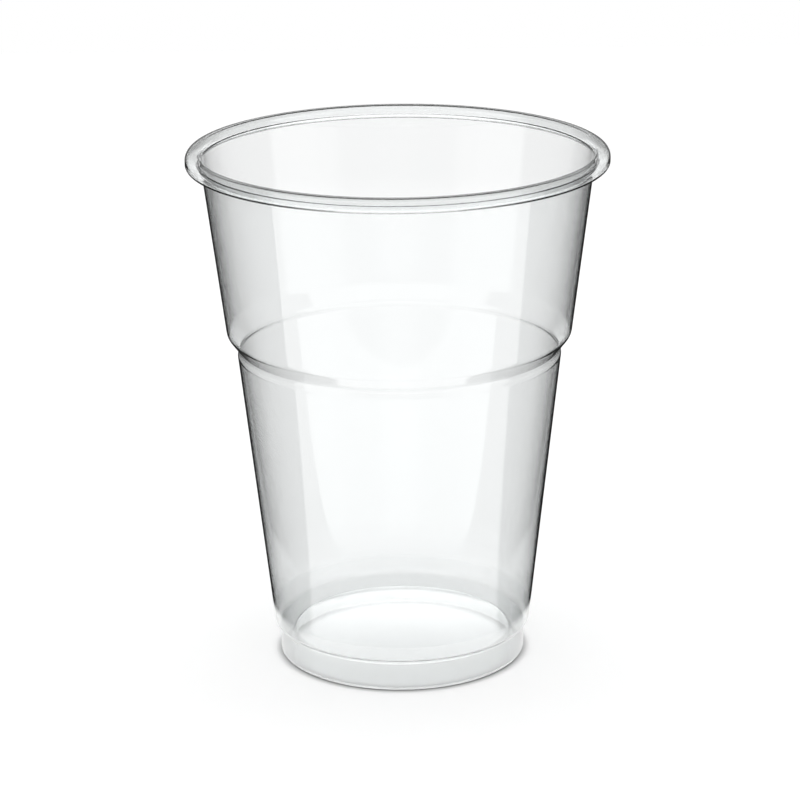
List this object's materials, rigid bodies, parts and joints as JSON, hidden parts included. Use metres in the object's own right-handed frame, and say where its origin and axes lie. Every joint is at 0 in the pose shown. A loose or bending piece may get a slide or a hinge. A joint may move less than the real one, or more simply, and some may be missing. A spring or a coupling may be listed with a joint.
{
  "type": "disposable cup",
  "caption": "Clear tapered disposable drinking cup with a rolled rim, a stepped shoulder for stacking, a narrow foot and a raised bottom panel",
  "frame": {"origin": "centre of the standing ring, on the surface that the cup stands on", "axes": "+Z is the cup's axis and points up out of its mouth, and the cup is round, so X and Y are free"},
  "size_m": [0.095, 0.095, 0.119],
  "materials": {
    "clear_plastic": "clear colourless thermoformed plastic sheet, smooth and glossy on both faces"
  },
  "bodies": {
    "root": {"cup": "clear_plastic"}
  },
  "joints": []
}
